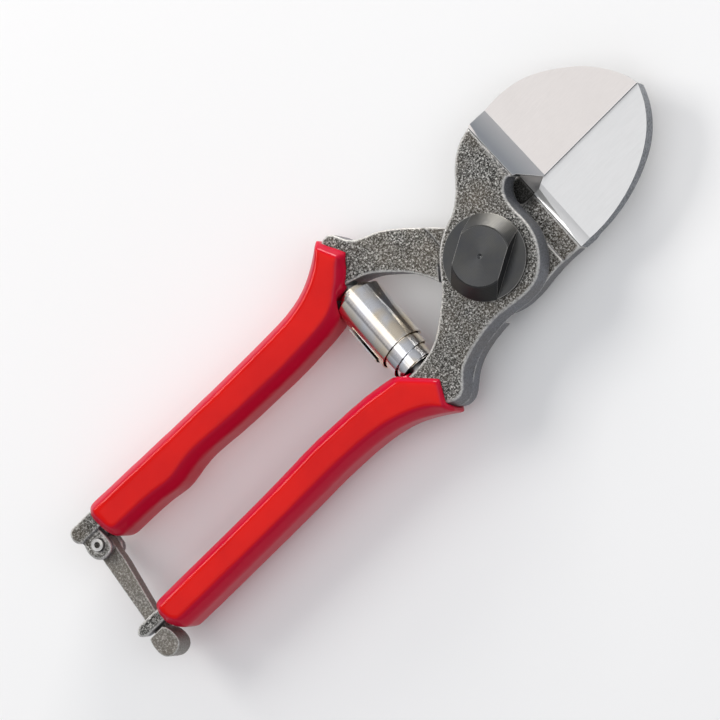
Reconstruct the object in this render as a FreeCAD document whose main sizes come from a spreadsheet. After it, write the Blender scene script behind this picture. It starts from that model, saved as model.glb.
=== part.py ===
"""Bypass pruner with two ground blades: closed and latched, 0.21 m long.

Frame: millimetres, +X to the blade tips, +Y to the side of the front blade, +Z to the bolt head.
The origin is on the pivot axis, in the plane of the bolt's end, which is the face the tool lies on.
"""
import FreeCAD, Part
import math
import os
from FreeCAD import Rotation, Vector

os.makedirs("parts", exist_ok=True)
doc = FreeCAD.newDocument("bypass_pruner")

# ---------------------------------------------------------------- driving dimensions
sheet = doc.addObject("Spreadsheet::Sheet", "dims")
DIMENSIONS = {
    "mid_level": 12.0,          # plane in which the two halves slide on each other
    "slide_gap": 0.10,          # running gap between the two halves
    "boss_thick": 6.0,          # each half at the pivot
    "neck_drop": 4.5,           # how far each neck reaches past the mid level
    "wall_draft": 11.0,         # draft of the front forging's walls, degrees
    "tang_thick": 5.0,
    "shank_rad": 4.5,
    "running_fit": 0.05,
    "thread_rad": 3.9,
    "head_rad": 12.0,
    "head_top_rad": 8.5,
    "flange_thick": 1.0,
    "head_height": 4.75,
    "flats_width": 14.0,
    "nut_flats": 13.0,
    "nut_thick": 4.6,
    "washer_rad": 8.5,
    "grip_thick": 16.0,
    "grip_round": 3.6,          # height of the slanted part of a grip's section
    "grip_bevel": 2.6,          # and its width
    "blade_tip": 61.5,
    "cut_line": 6.3,            # Y of the front blade's cutting edge
    "blade_slope": 5.6,         # slope of the front blade's ground face, degrees
    "rear_blade_back": 4.6,     # the rear blade is thicker at its back, and its ground face steeper
    "rear_blade_slope": 10.1,
    "heel_web_thick": 3.5,      # web of the rear half behind the notch in the front blade's heel
    "shoulder_start": 21.2,
    "shoulder_end": 26.2,
    "blade_back": 2.9,          # the front blade's thickness at its back
    "pin_x": -139.5,
    "pin_y": 21.2,
    "pin_rad": 1.8,
    "pin_bore": 0.9,
    "latch_thick": 4.0,
    "cheek_thick": 2.6,
    "latch_gap": 0.3,
    "spring_x": -36.0,
    "spring_rad": 7.7,
    "spring_end_rad": 6.4,
    "spring_bore": 3.4,
    "peg_rad": 2.6,
    "seat_gap": 0.4,            # room around the spring's ends in the grips
    "root_relief": 0.8,         # the rear blade's raw root lies this much below its sliding face
    "root_relief_end": 20.3,
    "arch_slope": 18.5,         # the arch runs down to the pivot at this angle
    "arch_slope_start": -24.5,
    "arch_slope_length": 16.5,
}
for row, (alias, number) in enumerate(DIMENSIONS.items(), start=1):
    sheet.set(f"A{row}", alias)
    sheet.set(f"B{row}", str(number))
    sheet.setAlias(f"B{row}", alias)
doc.recompute()


def dim(alias):
    """A driving dimension, read back from the sheet."""
    return float(sheet.get(alias))


def bind(feature, **formulas):
    """Tie properties of a feature to formulas in the sheet's aliases."""
    for name, formula in formulas.items():
        for alias in DIMENSIONS:
            formula = formula.replace(f"<{alias}>", f"dims.{alias}")
        feature.setExpression(name, formula)


# ---------------------------------------------------------------- helpers
def new_body(label):
    body = doc.addObject("PartDesign::Body", label)
    body.Label = label
    return body


def origin_plane(body, role):
    return next(f for f in body.Origin.OriginFeatures if f.Role == role)


def add_sketch(body, name, role, offset=Vector(), **height):
    """A sketch on one of the body's own origin planes, moved by offset or by a bound height."""
    sketch = body.newObject("Sketcher::SketchObject", name)
    sketch.AttachmentSupport = [(origin_plane(body, role), "")]
    sketch.MapMode = "FlatFace"
    sketch.AttachmentOffset = FreeCAD.Placement(offset, Rotation())
    if height:
        bind(sketch, **{".AttachmentOffset.Base.z": height["level"]})
    return sketch


def draw(sketch, runs):
    """A closed outline. A run of two points is a line, a longer run is one smooth curve."""
    for index, run in enumerate(runs):
        points = [Vector(x, y, 0) for x, y in run]
        points.append(Vector(*runs[(index + 1) % len(runs)][0], 0))
        if len(points) == 2:
            sketch.addGeometry(Part.LineSegment(points[0], points[1]), False)
        else:
            curve = Part.BSplineCurve()
            curve.interpolate(points)
            sketch.addGeometry(curve, False)


def add_circle(sketch, x, y, radius):
    return sketch.addGeometry(Part.Circle(Vector(x, y, 0), Vector(0, 0, 1), radius), False)


def add_pad(body, name, sketch, **formulas):
    pad = body.newObject("PartDesign::Pad", name)
    pad.Profile = sketch
    bind(pad, **formulas)
    sketch.Visibility = False
    doc.recompute()
    return pad


def add_pocket(body, name, sketch, **formulas):
    """A pocket upward from the sketch, which has to take something away."""
    before = body.Shape.Volume
    pocket = body.newObject("PartDesign::Pocket", name)
    pocket.Profile = sketch
    pocket.Reversed = True
    bind(pocket, **formulas)
    sketch.Visibility = False
    doc.recompute()
    if not body.Shape.Volume < before:
        raise RuntimeError(f"{name} cuts nothing")
    return pocket


def spread(runs, distance):
    """The same outline, counter-clockwise, with every point moved outward by distance."""
    flat = [Vector(x, y, 0) for run in runs for x, y in run]
    moved = []
    for index, point in enumerate(flat):
        along = flat[(index + 1) % len(flat)] - flat[index - 1]
        out = Vector(along.y, -along.x, 0).normalize()
        moved.append((point.x + out.x * distance, point.y + out.y * distance))
    points = iter(moved)
    return [[next(points) for _ in run] for run in runs]


def add_drafted_plate(body, name, runs, top, bottom):
    """A plate whose walls lean out by wall_draft from the outline at level top down to bottom."""
    depth = dim("boss_thick") - dim("slide_gap") / 2
    high = add_sketch(body, name + "_top_sketch", "XY_Plane", level=top)
    draw(high, runs)
    low = add_sketch(body, name + "_foot_sketch", "XY_Plane", level=bottom)
    draw(low, spread(runs, depth * math.tan(math.radians(dim("wall_draft")))))
    loft = body.newObject("PartDesign::AdditiveLoft", name)
    loft.Profile = high
    loft.Sections = [low]
    loft.Ruled = True
    doc.recompute()
    return loft


def add_through_hole(body, name, x, y, radius):
    """A round hole through the whole body along Z."""
    sketch = add_sketch(body, name + "_sketch", "XY_Plane", Vector(0, 0, -20))
    add_circle(sketch, x, y, dim(radius) + dim("running_fit"))
    before = body.Shape.Volume
    pocket = body.newObject("PartDesign::Pocket", name)
    pocket.Profile = sketch
    pocket.Type = "ThroughAll"
    pocket.Reversed = True
    doc.recompute()
    if not body.Shape.Volume < before:
        raise RuntimeError(f"{name} cuts nothing")
    return pocket


def cut(label, base, tool):
    """base minus tool, as a Part::Cut that keeps both in the tree."""
    result = doc.addObject("Part::Cut", label)
    result.Label = label
    result.Base = base
    result.Tool = tool
    doc.recompute()
    return result


def fuse(label, shapes):
    result = doc.addObject("Part::MultiFuse", label)
    result.Label = label
    result.Shapes = shapes
    doc.recompute()
    return result


# ---------------------------------------------------------------- outlines
TIP = dim("blade_tip")
CUT = dim("cut_line")
NECK_END = -41.0

front_inner_neck = [(-15.0, 2.3), (-18.3, -0.8), (-22.0, -3.9), (-26.0, -6.6), (-30.5, -8.2), (-35.0, -8.6)]
front_nose = [(-34.6, -21.4), (-32.8, -22.3), (-30.2, -22.4), (-28.3, -21.2)]
front_outer_neck = [(-26.4, -19.0), (-23.3, -16.9), (-19.5, -15.6), (-14.5, -14.5), (-9.5, -14.0),
                    (-4.5, -14.4)]
front_boss_side = [(0.5, -15.0), (7.0, -14.0), (11.0, -10.7), (13.9, -5.7), (14.8, 0.0), (14.6, 5.0)]
front_plate_outline = [
    [(0.3, 15.1), (-5.7, 12.5), (-9.3, 9.6), (-12.2, 6.0)] + front_inner_neck,
    [(NECK_END, -8.6)],
    [(NECK_END, -14.0)],
    front_nose + front_outer_neck + front_boss_side + [(15.6, 9.2)],
    [(18.7, 11.8)],
    [(20.0, 29.3), (16.3, 28.5), (13.0, 26.7), (9.7, 23.8), (6.7, 20.2), (3.7, 17.3)],
]
front_blade_outline = [
    [(16.0, 28.4), (20.0, 29.6), (25.0, 30.4), (30.0, 30.8), (34.5, 30.5), (39.5, 29.4), (44.5, 27.1),
     (49.5, 23.8), (54.4, 19.6), (58.1, 14.9), (60.5, 10.4)],
    [(TIP, CUT)],
    [(25.6, CUT)],
    [(21.2, 11.1)],
    [(18.2, 11.9)],
]
front_neck_outline = [
    [(-17.0, -0.2), (-21.0, -2.4), (-26.0, -5.9), (-30.5, -7.6), (-35.0, -8.0)],
    [(NECK_END, -8.0)],
    [(NECK_END, -14.5)],
    [(-35.4, -21.6), (-33.2, -23.4), (-30.2, -23.6), (-27.6, -22.0), (-24.5, -19.4), (-20.0, -17.1),
     (-15.0, -15.9)],
    [(-8.6, -15.3), (-14.4, -9.9), (-16.9, -4.9)],
]
rear_blade_outline = [
    [(TIP, CUT + 0.3)],
    [(26.0, CUT + 0.3)],
    [(22.4, 4.9)],
    [(16.2, 5.3), (13.4, 7.6), (9.2, 11.6), (3.2, 14.6), (-3.1, 14.9)],
    [(-10.0, 12.4)],
    [(-15.2, 4.2), (-15.3, -2.2), (-12.6, -8.6), (-7.4, -13.4), (0.0, -15.5), (5.0, -15.3), (10.0, -14.7),
     (18.7, -14.7), (26.7, -15.1), (33.4, -14.5), (40.1, -12.9), (46.7, -10.2), (52.1, -6.9), (56.4, -2.9),
     (59.6, 1.8)],
]
heel_web_outline = [(9.5, 10.0), (14.5, 4.5), (24.0, 4.5), (27.5, 6.2), (24.6, 9.2), (20.4, 12.4),
                    (11.0, 12.6)]
rear_inner_arch = [(-41.0, 24.0), (-35.0, 23.3), (-31.3, 22.2), (-27.5, 20.4), (-23.8, 17.4), (-20.0, 13.8),
                   (-17.3, 10.0)]
rear_arch_outline = [
    rear_inner_arch + [(-15.6, 6.6), (-14.6, 3.0)],
    [(-8.0, 6.0)],
    [(-3.1, 14.6), (-6.4, 18.2), (-10.0, 21.6), (-15.0, 25.8), (-20.0, 28.7), (-25.0, 30.8), (-27.4, 34.2),
     (-29.2, 36.9), (-31.2, 37.3), (-33.0, 36.2)],
    [(-41.0, 29.0)],
]
arch_relief_outline = [
    [(-18.5, 0.5)],
    [(-18.5, 3.6), (-15.2, 5.8), (-12.9, 9.0), (-10.0, 12.5)],
    [(-9.5, 16.6)],
    [(-8.8, 23.0)],
    [(6.0, 18.0)],
    [(0.0, -2.0)],
]
front_grip_outline = [
    [(-39.4, -5.3), (-45.0, -4.3), (-52.0, -3.3), (-60.0, -2.8), (-70.0, -2.4), (-85.0, -2.7), (-100.0, -2.9),
     (-125.0, -2.7)],
    [(-136.6, -2.7), (-138.6, -5.6), (-138.2, -9.4)],
    [(-134.2, -14.4), (-110.0, -14.6), (-86.0, -14.6), (-61.0, -14.9), (-53.6, -15.8), (-46.0, -17.9),
     (-41.0, -20.4)],
    [(-35.0, -24.3)],
    [(-30.0, -15.0)],
]
rear_grip_outline = [
    [(-33.0, 38.7), (-40.0, 33.8), (-45.0, 31.3), (-52.0, 29.6), (-60.0, 29.2), (-75.0, 29.3), (-90.0, 29.6),
     (-110.0, 30.3)],
    [(-133.5, 31.2), (-135.8, 28.6), (-135.4, 24.0), (-133.6, 19.2)],
    [(-131.0, 17.9), (-122.0, 17.6), (-115.5, 17.1), (-109.5, 16.3), (-102.5, 17.3), (-88.0, 16.8),
     (-76.0, 16.2), (-61.0, 15.9), (-51.0, 16.3), (-43.0, 17.4)],
    [(-36.6, 21.5), (-33.6, 23.8), (-30.8, 26.6)],
    [(-28.2, 29.8)],
]
FRONT_TANG_MID = [(-36.0, -13.6), (-42.0, -12.2), (-50.0, -9.9), (-60.0, -8.9), (-80.0, -8.7), (-137.5, -7.0)]
REAR_TANG_MID = [(-36.0, 28.4), (-42.0, 25.3), (-50.0, 23.2), (-60.0, 22.6), (-80.0, 23.0), (-137.0, 26.0)]
TANG_HALF_WIDTH = 3.4


def tang_outline(middle):
    """A band of even width along the middle line, with square ends."""
    upper = [(x, y + TANG_HALF_WIDTH) for x, y in middle]
    lower = [(x, y - TANG_HALF_WIDTH) for x, y in reversed(middle)]
    return [upper[:-1], [upper[-1]], lower[:-1], [lower[-1]]]


# ---------------------------------------------------------------- the two forgings
def add_ground_face(name, side):
    """Tool that grinds a blade's outer face: a slanted shoulder, then a face sloping to the edge.

    side is +1 for the front blade, whose outer face looks up, and -1 for the rear one.
    """
    wedge = doc.addObject("Part::Wedge", name)
    back, slope = ("blade_back", "blade_slope") if side > 0 else ("rear_blade_back", "rear_blade_slope")
    run = "(<shoulder_end> - <shoulder_start>) / (<boss_thick> - <blade_back>)"
    bind(wedge, Xmin="<shoulder_end>", X2min=f"<shoulder_end> - {run} * 2 * <boss_thick>",
         Xmax="90", X2max="90", Ymin="0", Ymax="2 * <boss_thick>", Zmin="-40", Zmax="40",
         Z2min="-40", Z2max="40")
    doc.recompute()
    tilt = Rotation(Vector(1, 0, 0), side * (90 + dim(slope)))
    back_y = 30.0 if side > 0 else -14.5
    level = dim("mid_level") + side * dim(back)
    wedge.Placement = FreeCAD.Placement(Vector(0, back_y, level), tilt)
    return wedge


def add_root_relief():
    """Tool that lowers the rear blade's raw root, with a slanted shoulder up to the ground face."""
    wedge = doc.addObject("Part::Wedge", "root_relief")
    bind(wedge, Xmin="<head_rad> + 2", X2min="<head_rad> + 2", Ymin="0", Ymax="2 * <root_relief>",
         Xmax="<root_relief_end>", X2max="<root_relief_end> + 7.4", Zmin="-7", Zmax="20",
         Z2min="-7", Z2max="20")
    doc.recompute()
    level = dim("mid_level") - dim("root_relief")
    wedge.Placement = FreeCAD.Placement(Vector(0, 0, level), Rotation(Vector(1, 0, 0), 90))
    return wedge


def add_fork_slot():
    """Tool for the slot in which the latch's eye turns, between the two cheeks."""
    slot = doc.addObject("Part::Cylinder", "fork_slot")
    bind(slot, Radius="2 * <pin_rad>", Height="<latch_thick> + 2 * <latch_gap>")
    low = dim("mid_level") - dim("latch_thick") / 2 - 1 - dim("latch_gap")
    slot.Placement = FreeCAD.Placement(Vector(dim("pin_x"), dim("pin_y"), low), Rotation())
    return slot


def add_arch_slope():
    """Tool that slopes the top of the rear arch down towards the pivot."""
    slab = doc.addObject("Part::Box", "arch_slope")
    bind(slab, Length="<arch_slope_length>", Width="40", Height="<head_rad>")
    corner = Vector(dim("arch_slope_start"), 4.0, dim("mid_level") + dim("neck_drop"))
    slab.Placement = FreeCAD.Placement(corner, Rotation(Vector(0, 1, 0), dim("arch_slope")))
    return slab


def make_front_half():
    body = new_body("front_forging")
    top = "<mid_level> + <boss_thick>"
    add_drafted_plate(body, "front_plate", front_plate_outline, top, "<mid_level> + <slide_gap> / 2")
    blade = add_sketch(body, "front_blade_sketch", "XY_Plane", level="<mid_level> + <slide_gap> / 2")
    draw(blade, front_blade_outline)
    add_pad(body, "front_blade", blade, Length="<boss_thick> - <slide_gap> / 2")
    neck = add_sketch(body, "front_neck_sketch", "XY_Plane", level="<mid_level> - <neck_drop>")
    draw(neck, front_neck_outline)
    add_pad(body, "front_neck", neck, Length="<neck_drop> + 1")
    tang = add_sketch(body, "front_tang_sketch", "XY_Plane", level="<mid_level> - <tang_thick> / 2")
    draw(tang, tang_outline(FRONT_TANG_MID))
    add_pad(body, "front_tang", tang, Length="<tang_thick>")
    tongue = add_sketch(body, "latch_tongue_sketch", "XY_Plane", level="<mid_level> + 1.4")
    draw(tongue, [[(-134.0, -4.6)], [(-145.0, -4.2), (-147.2, -6.2)], [(-145.0, -8.2)], [(-134.0, -8.4)]])
    add_pad(body, "latch_tongue", tongue, Length="3.2")
    add_through_hole(body, "front_pivot_hole", 0, 0, "shank_rad")
    return body


def make_rear_half():
    body = new_body("rear_forging")
    low = "<mid_level> - <boss_thick>"
    blade = add_sketch(body, "rear_blade_sketch", "XY_Plane", level=low)
    draw(blade, rear_blade_outline)
    add_pad(body, "rear_blade", blade, Length="<boss_thick> - <slide_gap> / 2")
    web = add_sketch(body, "heel_web_sketch", "XY_Plane", level=low)
    draw(web, [[point] for point in heel_web_outline])
    add_pad(body, "heel_web", web, Length="<heel_web_thick>")
    arch = add_sketch(body, "rear_arch_sketch", "XY_Plane", level=low)
    draw(arch, rear_arch_outline)
    add_pad(body, "rear_arch", arch, Length="<boss_thick> + <neck_drop>")
    relief = add_sketch(body, "arch_relief_sketch", "XY_Plane", level="<mid_level> - <slide_gap> / 2")
    draw(relief, arch_relief_outline)
    add_pocket(body, "arch_relief", relief, Length="<neck_drop> + 1")
    tang = add_sketch(body, "rear_tang_sketch", "XY_Plane", level="<mid_level> - <tang_thick> / 2")
    draw(tang, tang_outline(REAR_TANG_MID))
    add_pad(body, "rear_tang", tang, Length="<tang_thick>")
    block = add_sketch(body, "tail_block_sketch", "XY_Plane", level="<mid_level> - 6")
    draw(block, [[(-134.5, 30.0)], [(-142.6, 30.1), (-144.3, 28.6), (-144.1, 25.8)], [(-142.4, 24.8)],
                 [(-134.5, 24.8)]])
    add_pad(body, "tail_block", block, Length="10.5")
    cheeks = (("front_cheek", "<mid_level> + <latch_thick> / 2 - 1 + <latch_gap>"),
              ("rear_cheek", "<mid_level> - <latch_thick> / 2 - 1 - <latch_gap> - <cheek_thick>"))
    for name, level in cheeks:
        cheek = add_sketch(body, name + "_sketch", "XY_Plane", level=level)
        x, y = dim("pin_x"), dim("pin_y")
        draw(cheek, [[(x + 2.9, 27.2)], [(x - 2.6, 27.2)],
                     [(x - 3.8, y + 2.0), (x - 4.0, y - 0.6), (x - 2.9, y - 3.1), (x, y - 4.2),
                      (x + 2.6, y - 3.2), (x + 3.4, y - 0.4)]])
        add_pad(body, name, cheek, Length="<cheek_thick>")
    add_through_hole(body, "rear_pivot_hole", 0, 0, "shank_rad")
    add_through_hole(body, "latch_pin_hole", dim("pin_x"), dim("pin_y"), "pin_rad")
    return body


# ---------------------------------------------------------------- pivot hardware
def revolve(label, profile, x=0.0, y=0.0):
    """A turned piece: the closed profile of (radius, level) points spun about a vertical axis."""
    body = new_body(label)
    sketch = add_sketch(body, label + "_profile", "XZ_Plane")
    draw(sketch, [[point] for point in profile])
    turned = body.newObject("PartDesign::Revolution", label + "_turned")
    turned.Profile = sketch
    turned.ReferenceAxis = (sketch, ["V_Axis"])
    turned.Angle = 360
    doc.recompute()
    body.Placement = FreeCAD.Placement(Vector(x, y, 0), Rotation())
    return body


def make_pivot_bolt():
    head = dim("mid_level") + dim("boss_thick")
    top = head + dim("head_height")
    profile = [(0, 0.0), (dim("thread_rad") - 0.6, 0.0), (dim("thread_rad"), 0.6), (dim("thread_rad"), 5.6),
               (dim("shank_rad"), 6.2), (dim("shank_rad"), head), (dim("head_rad"), head),
               (dim("head_rad"), head + dim("flange_thick")), (dim("head_rad") - 0.5, head + 1.5),
               (dim("head_top_rad"), top - 0.2), (dim("head_top_rad") - 0.4, top), (0.8, top),
               (0, top - 0.35)]
    body = revolve("pivot_bolt_blank", profile)
    cutters = []
    for side in (-1, 1):
        flat = doc.addObject("Part::Box", f"spanner_flat_{'low' if side < 0 else 'high'}")
        bind(flat, Length="2 * <head_rad>", Width="<head_rad>", Height="<head_height>")
        spin = Rotation(Vector(0, 0, 1), 30)
        edge = dim("flats_width") / 2 if side > 0 else -dim("flats_width") / 2 - dim("head_rad")
        corner = spin.multVec(Vector(-dim("head_rad"), edge, 0))
        flat.Placement = FreeCAD.Placement(corner + Vector(0, 0, head + dim("flange_thick")), spin)
        cutters.append(flat)
    return cut("pivot_bolt", body, fuse("spanner_flats", cutters))


def make_washer_and_nut():
    low = dim("mid_level") - dim("boss_thick")
    bore = dim("thread_rad") + dim("running_fit")
    clear, rim, under = dim("shank_rad") + 0.2, dim("washer_rad"), dim("nut_thick")
    washer = revolve("lock_washer", [(clear, under), (rim, under), (rim, low), (clear, low)])
    nut = new_body("pivot_nut")
    sketch = add_sketch(nut, "nut_sketch", "XY_Plane")
    corner = dim("nut_flats") / 2 / math.cos(math.pi / 6)
    turns = [math.pi / 3 * k for k in range(6)]
    draw(sketch, [[(corner * math.cos(turn), corner * math.sin(turn))] for turn in turns])
    add_circle(sketch, 0, 0, bore)
    add_pad(nut, "nut_pad", sketch, Length="<nut_thick>")
    return washer, nut


# ---------------------------------------------------------------- grips
def make_grip(label, outline):
    """A sleeve of eight-sided section: the outline at mid height, drawn in at top and bottom."""
    body = new_body(label + "_skin")
    half = "<grip_thick> / 2"
    levels = ((f"<mid_level> - {half}", 1), (f"<mid_level> - {half} + <grip_round>", 0),
              (f"<mid_level> + {half} - <grip_round>", 0), (f"<mid_level> + {half}", 1))
    sketches = []
    for index, (level, drawn_in) in enumerate(levels):
        sketch = add_sketch(body, f"{label}_section_{index}", "XY_Plane", level=level)
        draw(sketch, spread(outline, -drawn_in * dim("grip_bevel")))
        sketches.append(sketch)
    loft = body.newObject("PartDesign::AdditiveLoft", label + "_loft")
    loft.Profile = sketches[0]
    loft.Sections = sketches[1:]
    loft.Ruled = True
    doc.recompute()
    return body


# ---------------------------------------------------------------- latch
def make_latch():
    body = new_body("latch_lever")
    x, y = dim("pin_x"), dim("pin_y")
    bar = add_sketch(body, "latch_bar_sketch", "XY_Plane", level="<mid_level> - <latch_thick> / 2 - 1")
    eye_rad = 3.0
    turns = [math.radians(30 * step) for step in range(7)]
    eye = [(x + eye_rad * math.cos(turn), y + eye_rad * math.sin(turn)) for turn in turns]
    draw(bar, [eye, [(x - eye_rad, y - 3.0)], [(x - 4.8, y - 28.0)], [(x - 4.8, y - 34.0)],
               [(x - 0.6, y - 34.0)], [(x - 0.1, y - 23.5)], [(x + 2.4, y - 8.0)]])
    add_pad(body, "latch_bar", bar, Length="<latch_thick>")
    knob = add_sketch(body, "latch_knob_sketch", "XY_Plane", level="<mid_level> - <latch_thick> / 2 - 1")
    draw(knob, [[(x - 0.1, y - 30.6)],
                [(x - 5.4, y - 30.6), (x - 6.0, y - 34.2), (x - 4.9, y - 37.6), (x - 2.1, y - 38.7),
                 (x + 0.7, y - 37.4), (x + 1.4, y - 34.4)]])
    add_pad(body, "latch_knob", knob, Length="<latch_thick> + 4")
    add_through_hole(body, "latch_eye", x, y, "pin_rad")
    return body


def make_latch_pin():
    low, high = 6.0, 16.7
    return revolve("latch_roll_pin", [(dim("pin_bore"), low), (dim("pin_rad"), low), (dim("pin_rad"), high),
                                      (dim("pin_bore"), high)], dim("pin_x"), dim("pin_y"))


# ---------------------------------------------------------------- spring and its pegs
SPRING_LOW, SPRING_HIGH = -6.9, 21.8


def along_y(label, profile):
    """A turned piece whose axis is parallel to Y, at the spring's place."""
    body = revolve(label, profile)
    place = Vector(dim("spring_x"), 0, dim("mid_level"))
    body.Placement = FreeCAD.Placement(place, Rotation(Vector(1, 0, 0), -90))
    return body


def make_spring():
    bore, rad, end_rad = dim("spring_bore"), dim("spring_rad"), dim("spring_end_rad")
    steps = [(end_rad - 1.2, SPRING_LOW), (end_rad, -4.2), (end_rad + 0.4, -2.0),
             (rad, 2.0), (rad, 13.5), (end_rad, 16.0), (end_rad - 0.6, 19.8), (end_rad - 1.8, SPRING_HIGH)]
    return along_y("volute_spring", [(bore, SPRING_LOW)] + steps + [(bore, SPRING_HIGH)])


def make_spring_seat(label, low, high):
    """The room that a grip leaves around an end of the spring."""
    rad = dim("spring_end_rad") + dim("seat_gap")
    return along_y(label, [(0, low), (rad, low), (rad, high), (0, high)])


def make_peg(label, seat, end):
    rad = dim("peg_rad")
    tip = end + (0.8 if end < seat else -0.8)
    return along_y(label, [(0, seat), (rad, seat), (rad, tip), (rad - 0.8, end), (0, end)])


# ---------------------------------------------------------------- assembly
front_peg = make_peg("front_spring_peg", -11.0, -3.5)
rear_peg = make_peg("rear_spring_peg", 26.0, 18.5)
front_blank = cut("front_ground", make_front_half(), add_ground_face("front_grind", +1))
rear_ground = cut("rear_ground", make_rear_half(), add_ground_face("rear_grind", -1))
rear_sloped = cut("rear_sloped", rear_ground, add_arch_slope())
rear_relieved = cut("rear_relieved", rear_sloped, add_root_relief())
rear_blank = cut("rear_slotted", rear_relieved, add_fork_slot())
front_half = cut("front_blade_handle", front_blank, front_peg)
rear_half = cut("rear_blade_handle", rear_blank, rear_peg)
washer, nut = make_washer_and_nut()
front_seat = make_spring_seat("front_seat", SPRING_LOW - 0.5, 8.0)
rear_seat = make_spring_seat("rear_seat", 10.0, SPRING_HIGH + 0.4)
front_sleeve = cut("front_sleeve", make_grip("front_grip", front_grip_outline), front_seat)
rear_sleeve = cut("rear_sleeve", make_grip("rear_grip", rear_grip_outline), rear_seat)
front_pegged = cut("front_pegged", front_sleeve, front_peg)
rear_pegged = cut("rear_pegged", rear_sleeve, rear_peg)
front_grip = cut("front_grip", front_pegged, front_half)
rear_grip = cut("rear_grip", rear_pegged, rear_half)
NODES = [front_half, rear_half, make_pivot_bolt(), washer, nut, make_spring(), front_peg, rear_peg,
         front_grip, rear_grip, make_latch(), make_latch_pin()]
doc.recompute()

# ---------------------------------------------------------------- checks and files
for item in doc.Objects:
    if "Invalid" in item.State or "Error" in item.State:
        raise RuntimeError(f"{item.Label}: {item.State}")
for node in NODES:
    if node.Shape.isNull() or not node.Shape.isValid():
        raise RuntimeError(f"{node.Label} has no valid shape")
    node.Shape.exportStep(f"parts/{node.Label}.step")
    box = node.Shape.BoundBox
    print(f"{node.Label:20s} solids {len(node.Shape.Solids)}  volume {node.Shape.Volume:9.1f}  "
          f"X {box.XMin:7.1f} {box.XMax:6.1f}  Y {box.YMin:6.1f} {box.YMax:6.1f}  "
          f"Z {box.ZMin:5.1f} {box.ZMax:5.1f}")
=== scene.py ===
"""Looks for the bypass pruner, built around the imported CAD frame. Metres, in the frame of the part."""
import math
import bmesh
import bpy
from mathutils import Matrix, Vector


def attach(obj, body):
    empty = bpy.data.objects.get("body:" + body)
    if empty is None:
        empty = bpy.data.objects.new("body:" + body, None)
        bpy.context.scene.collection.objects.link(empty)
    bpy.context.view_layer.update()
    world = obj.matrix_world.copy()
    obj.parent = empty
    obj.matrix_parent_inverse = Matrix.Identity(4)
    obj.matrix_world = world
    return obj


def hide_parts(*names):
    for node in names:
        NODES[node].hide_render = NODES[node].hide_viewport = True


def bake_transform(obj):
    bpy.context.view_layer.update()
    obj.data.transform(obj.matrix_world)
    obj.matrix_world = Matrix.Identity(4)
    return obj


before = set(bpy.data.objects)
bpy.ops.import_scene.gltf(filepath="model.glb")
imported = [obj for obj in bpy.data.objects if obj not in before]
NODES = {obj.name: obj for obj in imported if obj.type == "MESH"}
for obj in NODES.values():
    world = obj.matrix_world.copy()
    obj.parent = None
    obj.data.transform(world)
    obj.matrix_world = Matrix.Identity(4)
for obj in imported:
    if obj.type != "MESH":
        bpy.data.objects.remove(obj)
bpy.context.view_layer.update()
MM = 0.001


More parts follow.
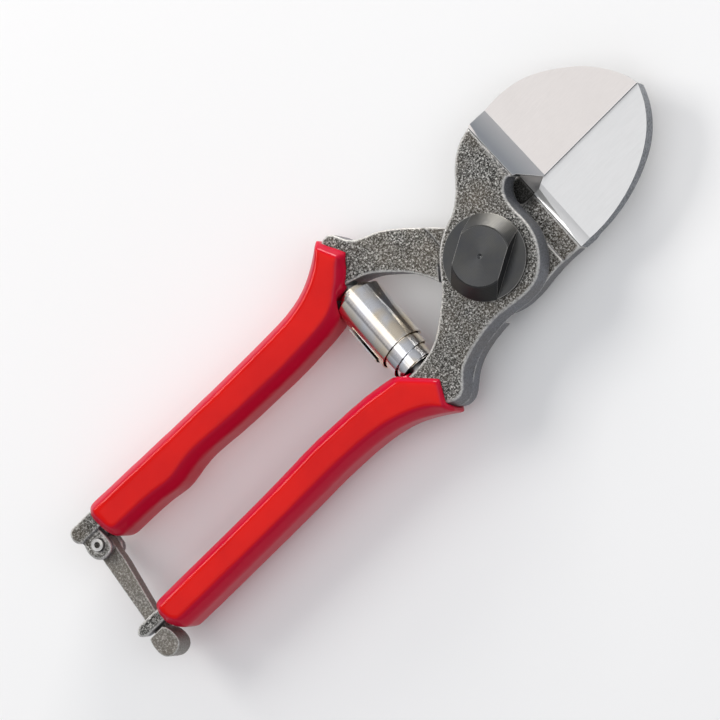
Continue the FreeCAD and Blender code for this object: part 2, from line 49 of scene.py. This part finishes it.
# ---------------------------------------------------------------- node helpers
class Shader:
    """A material under construction, with short calls for the nodes it uses most."""

    def __init__(self, name, **constants):
        self.material = bpy.data.materials.new(name)
        self.material.use_nodes = True
        self.tree = self.material.node_tree
        self.surface = self.tree.nodes["Principled BSDF"]
        for socket, value in constants.items():
            self.surface.inputs[socket.replace("_", " ")].default_value = value
        self.coords = self.node("ShaderNodeTexCoord").outputs["Object"]

    def node(self, kind, **settings):
        made = self.tree.nodes.new(kind)
        for name, value in settings.items():
            setattr(made, name, value)
        return made

    def link(self, source, target):
        self.tree.links.new(source, target)
        return source

    def stretched(self, scale):
        """Object coordinates, scaled by a different factor along each axis."""
        mapping = self.node("ShaderNodeMapping")
        mapping.inputs["Scale"].default_value = scale
        self.link(self.coords, mapping.inputs["Vector"])
        return mapping.outputs["Vector"]

    def noise(self, scale, detail=3.0, rough=0.6, vector=None):
        made = self.node("ShaderNodeTexNoise")
        made.inputs["Scale"].default_value = scale
        made.inputs["Detail"].default_value = detail
        made.inputs["Roughness"].default_value = rough
        self.link(vector or self.coords, made.inputs["Vector"])
        return made.outputs["Fac"]

    def ramp(self, source, stops):
        """Colour ramp. Each stop is (position, grey) or (position, (r, g, b))."""
        made = self.node("ShaderNodeValToRGB")
        elements = made.color_ramp.elements
        while len(elements) < len(stops):
            elements.new(0.5)
        for element, (position, colour) in zip(elements, stops):
            rgb = colour if isinstance(colour, tuple) else (colour,) * 3
            element.position = position
            element.color = (*rgb, 1)
        self.link(source, made.inputs["Fac"])
        return made.outputs["Color"]

    def math(self, operation, first, second=None, clamp=False):
        made = self.node("ShaderNodeMath", operation=operation, use_clamp=clamp)
        for socket, value in zip(made.inputs, (first, second)):
            if isinstance(value, (int, float)):
                socket.default_value = value
            elif value is not None:
                self.link(value, socket)
        return made.outputs[0]

    def mix(self, factor, first, second, blend="MIX"):
        made = self.node("ShaderNodeMix", data_type="RGBA", blend_type=blend)
        for socket, value in ((made.inputs[0], factor), (made.inputs[6], first), (made.inputs[7], second)):
            if isinstance(value, tuple):
                socket.default_value = (*value, 1)
            elif isinstance(value, (int, float)):
                socket.default_value = value
            else:
                self.link(value, socket)
        return made.outputs[2]

    def axis(self, vector, letter):
        made = self.node("ShaderNodeSeparateXYZ")
        self.link(vector, made.inputs[0])
        return made.outputs[letter]

    def band(self, source, low, high):
        """0 below low, 1 above high, straight between them."""
        made = self.node("ShaderNodeMapRange")
        made.inputs["From Min"].default_value = low
        made.inputs["From Max"].default_value = high
        self.link(source, made.inputs["Value"])
        return made.outputs["Result"]

    def edge_wear(self, radius):
        """1 where the surface turns within radius, 0 where it is flat."""
        bevel = self.node("ShaderNodeBevel", samples=6)
        bevel.inputs["Radius"].default_value = radius
        flat = self.node("ShaderNodeNewGeometry").outputs["Normal"]
        dot = self.node("ShaderNodeVectorMath", operation="DOT_PRODUCT")
        self.link(bevel.outputs["Normal"], dot.inputs[0])
        self.link(flat, dot.inputs[1])
        return self.band(self.math("SUBTRACT", 1.0, dot.outputs["Value"]), 0.01, 0.10)

    def bump(self, height, distance, strength=1.0):
        made = self.node("ShaderNodeBump")
        made.inputs["Distance"].default_value = distance
        made.inputs["Strength"].default_value = strength
        self.link(height, made.inputs["Height"])
        self.link(made.outputs["Normal"], self.surface.inputs["Normal"])

    def colour(self, source):
        self.link(source, self.surface.inputs["Base Color"])

    def roughness(self, source, low, high):
        made = self.node("ShaderNodeMapRange")
        made.inputs["To Min"].default_value = low
        made.inputs["To Max"].default_value = high
        self.link(source, made.inputs["Value"])
        self.link(made.outputs["Result"], self.surface.inputs["Roughness"])


# ---------------------------------------------------------------- materials
HEEL = (0.0195, 0.0075, 0.0085)      # middle of the painted shade in the recess behind the front blade's heel
HEEL_SHADE_FULL = 0.0040                   # painted shade is full out to this distance, and has gone at this one
HEEL_SHADE_END = 0.0065                  # and has gone at this one
SHOULDER_LOW = 0.0215                # X where a blade's slanted shoulder starts,
SHOULDER_HIGH = 0.0258               # and where it meets the ground face
# colour of the painted shade in the heel recess
HEEL_SHADE_COLOUR = (0.006, 0.006, 0.005)
# bare steel of worn edges, also used as a painted highlight on bumps
WORN_STEEL_AND_HIGHLIGHT = (0.66, 0.65, 0.63)
PIN_CENTRE = (-139.5 * MM, 21.2 * MM)


def blasted_forging(name, dark, light, wall):
    """Scale-blasted forging: specks on flat faces, smoother walls, bright worn edges with painted highlights
    on the blasted bumps, painted shade in the heel recess.
    """
    s = Shader(name, Metallic=0.75)
    speck = s.noise(1900, 4.0, 0.75)
    fine = s.noise(4600, 2.0, 0.6)
    broad = s.noise(90, 3.0, 0.55)
    grains = s.math("ADD", s.math("MULTIPLY", speck, 0.75), s.math("MULTIPLY", fine, 0.25))
    middle = tuple(c * 0.2 + d * 0.8 for c, d in zip(light, dark))
    face = s.ramp(grains, [(0.44, dark), (0.52, middle), (0.62, light)])
    side = s.ramp(grains, [(0.36, tuple(c * 0.55 for c in wall)), (0.60, wall)])
    normal = s.node("ShaderNodeNewGeometry").outputs["Normal"]
    upright = s.band(s.math("ABSOLUTE", s.axis(normal, "Z")), 0.55, 0.93)
    base = s.mix(upright, side, face)
    tinted = s.mix(s.ramp(broad, [(0.35, 0.0), (0.7, 0.35)]), base, (0.16, 0.13, 0.095))
    # bright worn edges, and painted highlights on the small bumps of the blasted surface
    rim = s.band(s.node("ShaderNodeNewGeometry").outputs["Pointiness"], 0.508, 0.54)
    wear = s.math("MULTIPLY", rim, s.ramp(fine, [(0.3, 0.45), (0.6, 1.0)]), clamp=True)
    # painted shade: the recess behind the front blade's heel is darkened towards its middle
    heel = s.node("ShaderNodeVectorMath", operation="DISTANCE")
    s.link(s.coords, heel.inputs[0])
    heel.inputs[1].default_value = HEEL
    heel_unshaded = s.band(heel.outputs["Value"], HEEL_SHADE_FULL, HEEL_SHADE_END)
    worn = s.mix(wear, tinted, WORN_STEEL_AND_HIGHLIGHT)
    s.colour(s.mix(heel_unshaded, s.mix(0.85, worn, HEEL_SHADE_COLOUR), worn))
    s.roughness(grains, 0.60, 0.34)
    s.bump(grains, 0.00025, 0.8)
    return s.material


def ground_steel(name, tone, grain_scale):
    """Ground and lightly brushed blade steel, with a darker slanted shoulder and raw walls."""
    s = Shader(name, Metallic=0.85)
    lines = s.noise(1.0, 3.0, 0.7, s.stretched(grain_scale))
    cloud = s.noise(70, 2.0, 0.5)
    base = s.mix(s.ramp(lines, [(0.3, 0.0), (0.7, 0.4)]), tone, tuple(c * 0.86 for c in tone))
    base = s.mix(s.ramp(cloud, [(0.4, 0.0), (0.7, 0.3)]), base, tuple(c * 0.93 for c in tone))
    normal = s.node("ShaderNodeNewGeometry").outputs["Normal"]
    slanted = s.band(s.math("ABSOLUTE", s.axis(normal, "X")), 0.25, 0.45)
    sloping = s.band(s.math("ABSOLUTE", s.axis(normal, "Z")), 0.3, 0.4)
    shadow = s.math("MULTIPLY", s.math("MULTIPLY", slanted, sloping), 0.8)
    along = s.band(s.axis(s.coords, "X"), SHOULDER_LOW, SHOULDER_HIGH)
    hollow = s.mix(along, (0.23, 0.26, 0.30), (0.46, 0.47, 0.49))
    base = s.mix(shadow, base, hollow)
    raw = s.ramp(s.noise(1900, 4.0, 0.75), [(0.40, (0.05, 0.055, 0.065)), (0.60, (0.33, 0.35, 0.38))])
    base = s.mix(sloping, raw, base)
    s.colour(s.mix(s.edge_wear(0.0003), base, (0.70, 0.70, 0.69)))
    s.roughness(lines, 0.30, 0.42)
    s.bump(lines, 0.00004, 0.5)
    return s.material


def glossy_vinyl(name):
    """Dipped red vinyl, glossy, with a faint orange peel, a few dull rub marks, and painted shade and sheen
    on the side facets.
    """
    s = Shader(name, Specular_IOR_Level=0.05, Coat_Weight=0.24, Coat_Roughness=0.06, Subsurface_Weight=0.02,
               Subsurface_Scale=0.002, Subsurface_Radius=(1.0, 0.2, 0.1))
    cloud = s.noise(60, 3.0, 0.55)
    peel = s.noise(420, 2.0, 0.5)
    fine = s.noise(2400, 2.0, 0.5)
    base = s.ramp(cloud, [(0.35, (0.60, 0.002, 0.001)), (0.65, (0.67, 0.004, 0.001))])
    normal = s.node("ShaderNodeNewGeometry").outputs["Normal"]
    # painted shade and sheen: faces turned away from up are darker and more crimson than the top
    upright = s.band(s.axis(normal, "Z"), 0.80, 0.995)
    s.colour(s.mix(upright, s.mix(0.85, base, (0.50, 0.006, 0.036)), base))
    s.roughness(s.math("ADD", s.math("MULTIPLY", cloud, 0.6), s.math("MULTIPLY", fine, 0.4)), 0.22, 0.42)
    s.bump(s.math("ADD", peel, s.math("MULTIPLY", fine, 0.15)), 0.00012, 0.35)
    return s.material


def turned_steel(name, tone, centre, ring_count, roughness):
    """Turned steel with fine rings about a vertical axis through centre."""
    s = Shader(name, Metallic=0.9, Anisotropic=0.6)
    offset = s.node("ShaderNodeVectorMath", operation="SUBTRACT")
    s.link(s.coords, offset.inputs[0])
    offset.inputs[1].default_value = (centre[0], centre[1], 0)
    wave = s.node("ShaderNodeTexWave", wave_type="RINGS", rings_direction="Z")
    wave.inputs["Scale"].default_value = ring_count
    wave.inputs["Distortion"].default_value = 0.6
    wave.inputs["Detail"].default_value = 2.0
    s.link(offset.outputs[0], wave.inputs["Vector"])
    rings = wave.outputs["Fac"]
    cloud = s.noise(160, 3.0, 0.6)
    base = s.mix(s.ramp(rings, [(0.2, 0.0), (0.9, 0.5)]), tone, tuple(min(1.0, c * 1.5) for c in tone))
    cool = (tone[0] * 0.8, tone[1] * 0.85, tone[2] * 1.1)
    base = s.mix(s.ramp(cloud, [(0.4, 0.0), (0.75, 0.5)]), base, cool)
    wear = s.edge_wear(0.0003)
    s.colour(s.mix(s.math("MULTIPLY", wear, 0.6), base, (0.45, 0.44, 0.42)))
    s.roughness(s.math("ADD", s.math("MULTIPLY", cloud, 0.7), s.math("MULTIPLY", rings, 0.3)),
                roughness, roughness + 0.16)
    s.bump(rings, 0.00002, 0.4)
    return s.material


def polished_strip(name):
    """Polished spring strip with light rolling marks, painted dark reflection streaks along Y and painted
    warm and cool reflections.
    """
    s = Shader(name, Metallic=1.0)
    marks = s.noise(1.0, 2.0, 0.6, s.stretched((500, 4200, 500)))
    cloud = s.noise(110, 2.0, 0.5)
    # painted reflections: dark streaks along Y, and a warm and cool cloud
    dark_reflection_streak = s.noise(1.0, 2.0, 0.5, s.stretched((230, 6, 230)))
    warm_and_cool_reflection = s.ramp(cloud, [(0.40, (0.98, 0.86, 0.68)), (0.58, (0.92, 0.93, 0.96))])
    base = s.mix(s.ramp(dark_reflection_streak, [(0.38, 0.8), (0.44, 0.0)]), warm_and_cool_reflection, (0.22, 0.21, 0.22))
    s.colour(s.mix(s.ramp(marks, [(0.4, 0.0), (0.7, 0.2)]), base, (0.70, 0.68, 0.67)))
    s.roughness(marks, 0.10, 0.22)
    s.bump(marks, 0.00001, 0.3)
    return s.material


FORGED = blasted_forging("blasted_forging", (0.012, 0.012, 0.011), (0.62, 0.61, 0.58), (0.24, 0.25, 0.275))
TAIL_FORGED = blasted_forging("tail_forging", (0.13, 0.12, 0.105), (0.46, 0.44, 0.41), (0.30, 0.285, 0.265))
FRONT_GROUND = ground_steel("front_blade_steel", (0.64, 0.605, 0.585), (300, 3600, 300))
REAR_GROUND = ground_steel("rear_blade_steel", (0.60, 0.60, 0.60), (200, 2200, 200))
VINYL = glossy_vinyl("red_vinyl")
BLUED = turned_steel("blued_steel", (0.062, 0.062, 0.060), (0, 0), 900, 0.30)
PLATED = turned_steel("plated_steel", (0.34, 0.34, 0.33), (0, 0), 700, 0.25)
PIN_STEEL = turned_steel("pin_steel", (0.46, 0.45, 0.43), PIN_CENTRE, 900, 0.25)
STRIP = polished_strip("spring_strip")


# ---------------------------------------------------------------- mesh helpers
def dress(obj, material):
    obj.data.materials.clear()
    obj.data.materials.append(material)


def smooth_by_angle(obj, degrees):
    for polygon in obj.data.polygons:
        polygon.use_smooth = True
    with bpy.context.temp_override(object=obj, active_object=obj, selected_objects=[obj],
                                   selected_editable_objects=[obj]):
        bpy.ops.object.shade_smooth_by_angle(angle=math.radians(degrees))


def soften(obj, voxel, passes):
    """Rounds every edge a little, as blasting and handling do: an even mesh, then a light smoothing."""
    remesh = obj.modifiers.new("even", "REMESH")
    remesh.mode = "VOXEL"
    remesh.voxel_size = voxel
    remesh.use_smooth_shade = True
    smooth = obj.modifiers.new("worn", "SMOOTH")
    smooth.factor = 0.5
    smooth.iterations = passes
    return obj


def pit(obj, grain, depth):
    """Small real pits and bumps of the blasted surface."""
    texture = bpy.data.textures.new(obj.name + "_grain", "CLOUDS")
    texture.noise_scale = grain
    texture.noise_depth = 1
    displace = obj.modifiers.new("blasted", "DISPLACE")
    displace.texture = texture
    displace.texture_coords = "GLOBAL"
    displace.strength = depth
    displace.mid_level = 0.5
    return obj


def side_of(node, name, x, keep_low):
    """A closed copy of a CAD node's mesh, cut by the plane X = x."""
    shape = bmesh.new()
    shape.from_mesh(NODES[node].data)
    bmesh.ops.remove_doubles(shape, verts=shape.verts, dist=2e-6)
    everything = shape.verts[:] + shape.edges[:] + shape.faces[:]
    bmesh.ops.bisect_plane(shape, geom=everything, plane_co=(x, 0, 0), plane_no=(1, 0, 0),
                           clear_outer=keep_low, clear_inner=not keep_low)
    rim = [e for e in shape.edges if e.is_boundary]
    bmesh.ops.triangle_fill(shape, edges=rim, use_beauty=True)
    bmesh.ops.recalc_face_normals(shape, faces=shape.faces)
    mesh = bpy.data.meshes.new(name)
    shape.to_mesh(mesh)
    shape.free()
    piece = bpy.data.objects.new(name, mesh)
    bpy.context.scene.collection.objects.link(piece)
    return piece


# ---------------------------------------------------------------- forgings
SHOULDER_X = 20.3 * MM
FORGING_VOXEL = 0.34 * MM


def make_forging(node, body, ground):
    raw = side_of(node, node + "_forged", SHOULDER_X, True)
    soften(raw, FORGING_VOXEL, 5)
    pit(raw, 0.9 * MM, 0.10 * MM)
    dress(raw, FORGED)
    blade = side_of(node, node + "_ground", SHOULDER_X, False)
    smooth_by_angle(blade, 22)
    dress(blade, ground)
    for piece in (raw, blade):
        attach(piece, body)
        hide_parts(node)


make_forging("front_blade_handle", "front_half", FRONT_GROUND)
make_forging("rear_blade_handle", "rear_half", REAR_GROUND)

# ---------------------------------------------------------------- grips, latch and hardware
for node in ("front_grip", "rear_grip"):
    grip = NODES[node]
    dress(grip, VINYL)
    soften(grip, 0.5 * MM, 28)
latch = NODES["latch_lever"]
dress(latch, TAIL_FORGED)
soften(latch, 0.2 * MM, 14)
pit(latch, 0.8 * MM, 0.08 * MM)
HARDWARE = {"pivot_bolt": BLUED, "lock_washer": PLATED, "pivot_nut": PLATED, "latch_roll_pin": PIN_STEEL,
            "front_spring_peg": PLATED, "rear_spring_peg": PLATED}
for node, material in HARDWARE.items():
    piece = NODES[node]
    dress(piece, material)
    bevel = piece.modifiers.new("broken_edges", "BEVEL")
    bevel.width = 0.15 * MM
    bevel.segments = 2
    bevel.limit_method = "ANGLE"
    bevel.angle_limit = math.radians(30)

# ---------------------------------------------------------------- volute spring
SPRING_X = -36.0 * MM
SPRING_Z = 12.0 * MM
STRIP_THICK = 0.32 * MM
STEPS_PER_TURN = 64
SPRING_TURNS = 4.6


def spring_strip(name, start_angle, profile, turns, weights):
    """A flat strip wound inward. profile(u) gives (radius, low y, high y) in mm at u from 0 outside to 1.

    weights is not used.
    """
    steps = int(turns * STEPS_PER_TURN)
    shape = bmesh.new()
    rows = []
    for index in range(steps + 1):
        u = index / steps
        radius, low, high = profile(u)
        angle = start_angle + u * turns * 2 * math.pi
        row = []
        for offset, y in ((0, low), (0, high), (-STRIP_THICK, high), (-STRIP_THICK, low)):
            distance = radius * MM + offset
            row.append(shape.verts.new((SPRING_X + distance * math.cos(angle), y * MM,
                                        SPRING_Z + distance * math.sin(angle))))
        rows.append(row)
    for first, second in zip(rows, rows[1:]):
        for k in range(4):
            shape.faces.new((first[k], first[(k + 1) % 4], second[(k + 1) % 4], second[k]))
    shape.faces.new(rows[0])
    shape.faces.new(reversed(rows[-1]))
    bmesh.ops.recalc_face_normals(shape, faces=shape.faces)
    mesh = bpy.data.meshes.new(name)
    shape.to_mesh(mesh)
    shape.free()
    strip = bpy.data.objects.new(name, mesh)
    bpy.context.scene.collection.objects.link(strip)
    dress(strip, STRIP)
    smooth_by_angle(strip, 35)
    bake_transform(strip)
    first, last = weights
    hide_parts("volute_spring")
    return strip


def ease(u):
    return u * u * (3 - 2 * u)


spring_strip("spring_outer_strip", math.radians(150),
             lambda u: (7.7 - 3.6 * u, 2.0 - 8.9 * ease(min(1, u * 1.5)), 13.6 - 3.0 * u),
             SPRING_TURNS, (0.5, 0.0))
spring_strip("spring_inner_strip", math.radians(-30),
             lambda u: (7.3 - 3.6 * u, 0.5 + 3.0 * u, 19.2 + 2.6 * ease(u)),
             SPRING_TURNS, (0.5, 1.0))

# ---------------------------------------------------------------- stage, light and camera
scene = bpy.context.scene
scene.view_settings.view_transform = "Standard"


def plain_floor():
    bpy.ops.mesh.primitive_plane_add(size=6.0, location=(0, 0, 0))
    floor = bpy.context.object
    floor.name = "floor"
    s = Shader("floor_paint", Roughness=0.9)
    s.colour(s.ramp(s.noise(3, 2.0, 0.5), [(0.3, 0.86), (0.7, 0.88)]))
    dress(floor, s.material)


plain_floor()

world = bpy.data.worlds.new("studio")
scene.world = world
world.use_nodes = True
background = world.node_tree.nodes["Background"]
direction = world.node_tree.nodes.new("ShaderNodeTexCoord")
split = world.node_tree.nodes.new("ShaderNodeSeparateXYZ")
world.node_tree.links.new(direction.outputs["Generated"], split.inputs[0])
sky = world.node_tree.nodes.new("ShaderNodeValToRGB")
stops = sky.color_ramp.elements
stops[0].position, stops[0].color = 0.0, (0.25, 0.26, 0.28, 1)
stops[1].position, stops[1].color = 0.75, (0.95, 0.96, 1.0, 1)
world.node_tree.links.new(split.outputs["Z"], sky.inputs["Fac"])
world.node_tree.links.new(sky.outputs["Color"], background.inputs["Color"])
background.inputs["Strength"].default_value = 0.5


def soft_light(name, location, size, power, colour, target=(-0.04, 0.0, 0.01)):
    data = bpy.data.lights.new(name, "AREA")
    data.shape = "RECTANGLE"
    data.size, data.size_y = size
    data.energy = power
    data.color = colour
    light = bpy.data.objects.new(name, data)
    light.location = location
    light.rotation_euler = (Vector(target) - Vector(location)).to_track_quat("-Z", "Y").to_euler()
    scene.collection.objects.link(light)


soft_light("key", (-0.5, 1.1, 0.85), (0.7, 0.5), 9, (1.0, 0.985, 0.96))
soft_light("fill", (0.7, -0.5, 0.9), (0.8, 0.8), 2.6, (0.93, 0.96, 1.0))
soft_light("low_side", (0.85, 0.88, 0.22), (0.6, 0.4), 13, (1.0, 0.96, 0.90))
soft_light("top", (-0.1, 0.1, 1.3), (1.15, 1.15), 3.8, (1.0, 1.0, 1.0))

LOOK_AT = Vector((-45.33, 4.586, 18.0)) * MM
RIGHT = Vector((0.6844, -0.6264, -0.3732))
UP = Vector((0.6844, 0.7284, 0.0326))
BACK = Vector((0.2514, -0.2778, 0.9272))
DISTANCE = 0.9
camera_data = bpy.data.cameras.new("camera")
camera_data.lens = 164.25
camera_data.sensor_width = 36.0
camera = bpy.data.objects.new("camera", camera_data)
turn = Matrix((RIGHT, UP, BACK)).transposed().to_4x4()
camera.matrix_world = Matrix.Translation(LOOK_AT + BACK * DISTANCE) @ turn
scene.collection.objects.link(camera)
scene.camera = camera
